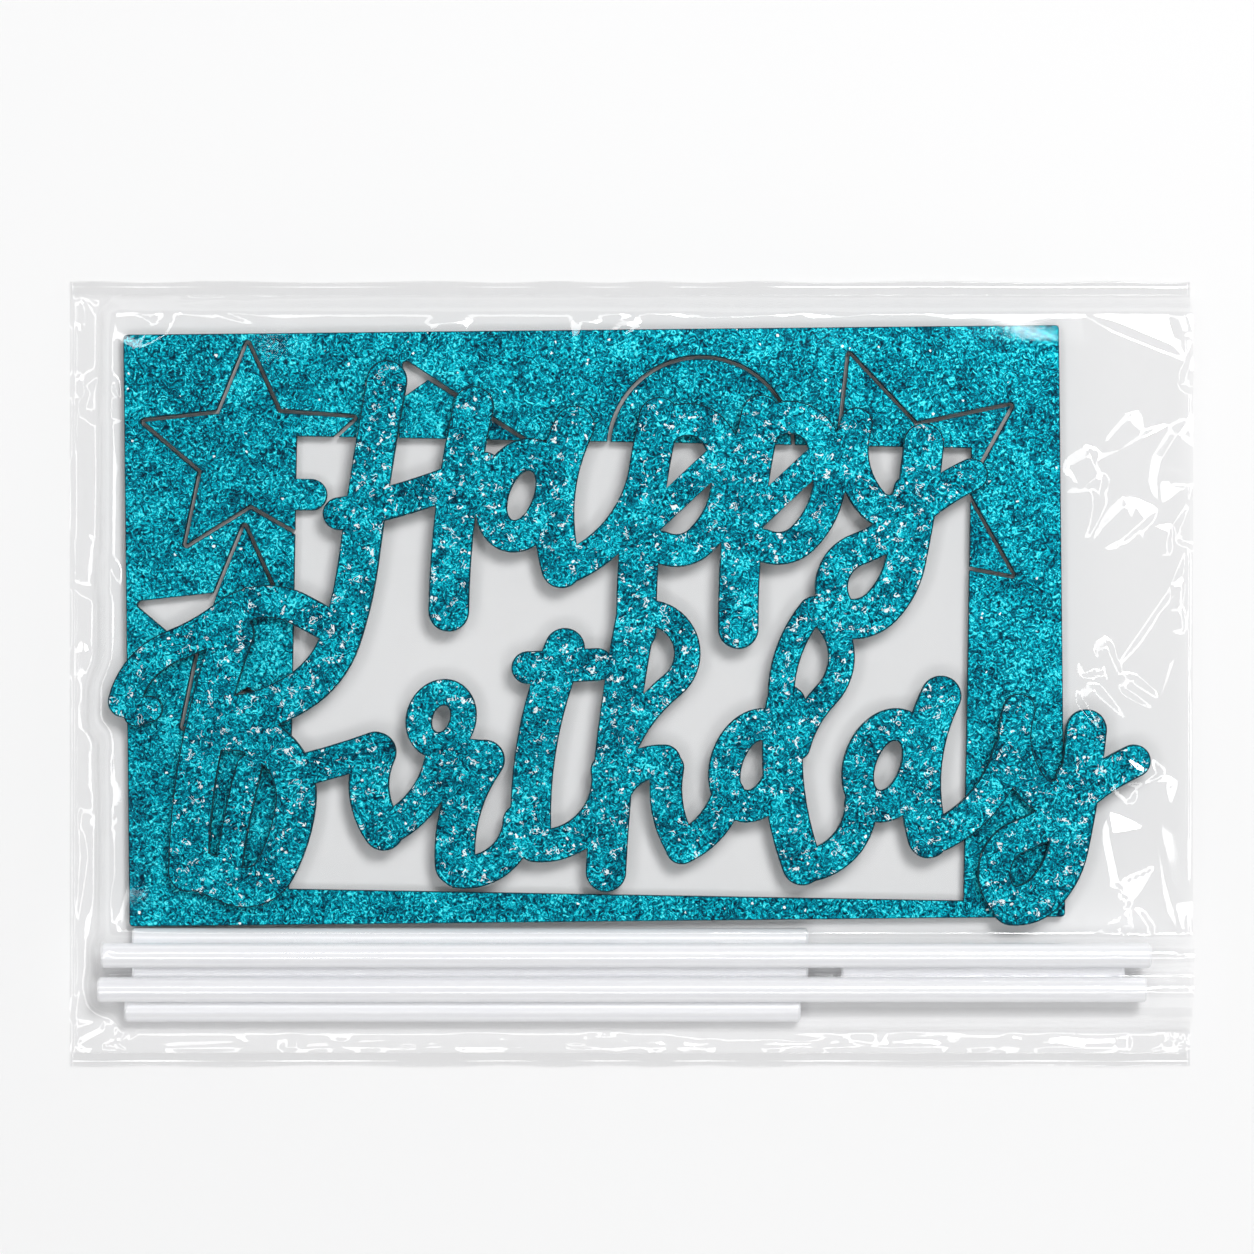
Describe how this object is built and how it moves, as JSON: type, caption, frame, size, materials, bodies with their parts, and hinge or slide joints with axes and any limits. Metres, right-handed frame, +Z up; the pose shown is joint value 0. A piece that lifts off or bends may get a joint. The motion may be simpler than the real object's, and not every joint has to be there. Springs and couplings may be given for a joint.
{
  "type": "cake topper",
  "caption": "Glitter script greeting on a die-cut foam carrier sheet with press-out stars and white paper sticks, packed flat in a clear film bag.",
  "frame": {"origin": "on the floor under the middle of the bag", "axes": "+X along the bag from its folded end to its open mouth, +Y up the greeting as it is read, +Z up through the sheets"},
  "size_m": [0.1612, 0.113, 0.0073],
  "materials": {
    "teal_foam": "matte foam",
    "teal_glitter": "glitter",
    "white_paper": "glossy",
    "clear_film": "clear film"
  },
  "bodies": {
    "bag": {"bag_back_film": "clear_film", "bag_front_film": "clear_film", "bag_upper_weld": "clear_film", "bag_lower_weld": "clear_film"},
    "carrier_sheet": {"carrier_backing": "teal_foam", "carrier_glitter": "teal_glitter", "star_upper_left_backing": "teal_foam", "star_upper_left_glitter": "teal_glitter", "star_lower_left_backing": "teal_foam", "star_lower_left_glitter": "teal_glitter", "star_right_backing": "teal_foam", "star_right_glitter": "teal_glitter", "star_right_arm_backing": "teal_foam", "star_right_arm_glitter": "teal_glitter", "pennant_upper_left_backing": "teal_foam", "pennant_upper_left_glitter": "teal_glitter", "disc_upper_middle_backing": "teal_foam", "disc_upper_middle_glitter": "teal_glitter"},
    "greeting": {"greeting_backing": "teal_foam", "greeting_glitter": "teal_glitter"},
    "upper_long_stick": {"long_stick_upper": "white_paper"},
    "lower_long_stick": {"long_stick_lower": "white_paper"},
    "upper_short_stick": {"short_stick_upper": "white_paper"},
    "middle_short_stick": {"short_stick_middle": "white_paper"},
    "lower_short_stick": {"short_stick_lower": "white_paper"},
    "stub": {"stub_stick": "white_paper"}
  },
  "joints": [
    {"name": "carrier_sheet_pull", "type": "slide", "parent": "bag", "child": "carrier_sheet", "axis": [1, 0, 0], "range_m": [0, 0.154]},
    {"name": "greeting_pull", "type": "slide", "parent": "bag", "child": "greeting", "axis": [1, 0, 0], "range_m": [0, 0.156]},
    {"name": "upper_long_stick_pull", "type": "slide", "parent": "bag", "child": "upper_long_stick", "axis": [1, 0, 0], "range_m": [0, 0.157]},
    {"name": "lower_long_stick_pull", "type": "slide", "parent": "bag", "child": "lower_long_stick", "axis": [1, 0, 0], "range_m": [0, 0.157]},
    {"name": "upper_short_stick_pull", "type": "slide", "parent": "bag", "child": "upper_short_stick", "axis": [1, 0, 0], "range_m": [0, 0.153]},
    {"name": "middle_short_stick_pull", "type": "slide", "parent": "bag", "child": "middle_short_stick", "axis": [1, 0, 0], "range_m": [0, 0.153]},
    {"name": "lower_short_stick_pull", "type": "slide", "parent": "bag", "child": "lower_short_stick", "axis": [1, 0, 0], "range_m": [0, 0.154]},
    {"name": "stub_pull", "type": "slide", "parent": "middle_short_stick", "child": "stub", "axis": [1, 0, 0], "range_m": [0, 0.052]}
  ]
}
